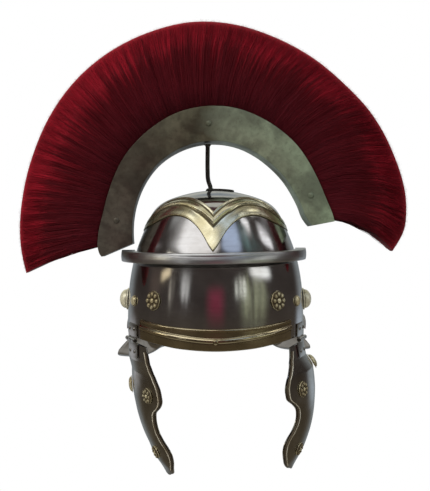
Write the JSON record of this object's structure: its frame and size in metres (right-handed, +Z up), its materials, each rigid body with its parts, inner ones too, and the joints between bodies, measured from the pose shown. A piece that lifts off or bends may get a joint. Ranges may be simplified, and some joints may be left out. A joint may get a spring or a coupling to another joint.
{
  "type": "roman legionary helmet",
  "caption": "Steel bowl with neck guard, brow bar, brass eyebrow ornament and rim band, hinged scalloped cheek guards and a transverse crest of red hair in an arched metal box on a stem.",
  "frame": {"origin": "inside top of the bowl, where the wearer's head is", "axes": "+Z up through the crown, -Y towards the front of the helmet, +X towards the wearer's left"},
  "size_m": [0.4651, 0.2982, 0.5225],
  "materials": {
    "bowl_steel": "polished",
    "guard_steel": "satin",
    "crest_steel": "satin",
    "brass": "polished",
    "dark_iron": "satin",
    "red_hair": "matte"
  },
  "bodies": {
    "shell": {"bowl": "bowl_steel", "brow_ornament": "brass", "brow_band": "brass", "brow_guard": "guard_steel", "crest_holder": "guard_steel", "ear_guard_left": "guard_steel", "ear_guard_right": "guard_steel", "temple_rosette_left": "brass", "temple_rosette_right": "brass", "temple_stud_left": "brass", "temple_stud_right": "brass", "side_boss_left": "brass", "side_boss_right": "brass", "hinge_upper_left": "guard_steel", "hinge_upper_right": "guard_steel", "hinge_pin_left": "dark_iron", "hinge_pin_right": "dark_iron"},
    "left_cheek": {"cheek_guard_left": "guard_steel", "cheek_trim_left": "brass", "cheek_rosette_left": "brass", "cheek_boss_left": "brass", "cheek_stud_left": "brass", "hinge_lower_left": "guard_steel"},
    "right_cheek": {"cheek_guard_right": "guard_steel", "cheek_trim_right": "brass", "cheek_rosette_right": "brass", "cheek_boss_right": "brass", "cheek_stud_right": "brass", "hinge_lower_right": "guard_steel"},
    "crest": {"crest_box": "crest_steel", "crest_hair": "red_hair", "crest_stem": "dark_iron"}
  },
  "joints": [
    {"name": "left_cheek_hinge", "type": "hinge", "parent": "shell", "child": "left_cheek", "pos_m": [-0.09384, -0.05362, -0.1674], "axis": [-0.3973, 0.9177, 0], "range_deg": [-7, 80]},
    {"name": "right_cheek_hinge", "type": "hinge", "parent": "shell", "child": "right_cheek", "pos_m": [0.09686, -0.04599, -0.1674], "axis": [-0.3384, -0.941, 0], "range_deg": [-16, 70]},
    {"name": "crest_lift", "type": "slide", "parent": "shell", "child": "crest", "axis": [0, 0, 1], "range_m": [0, 0.03]}
  ]
}
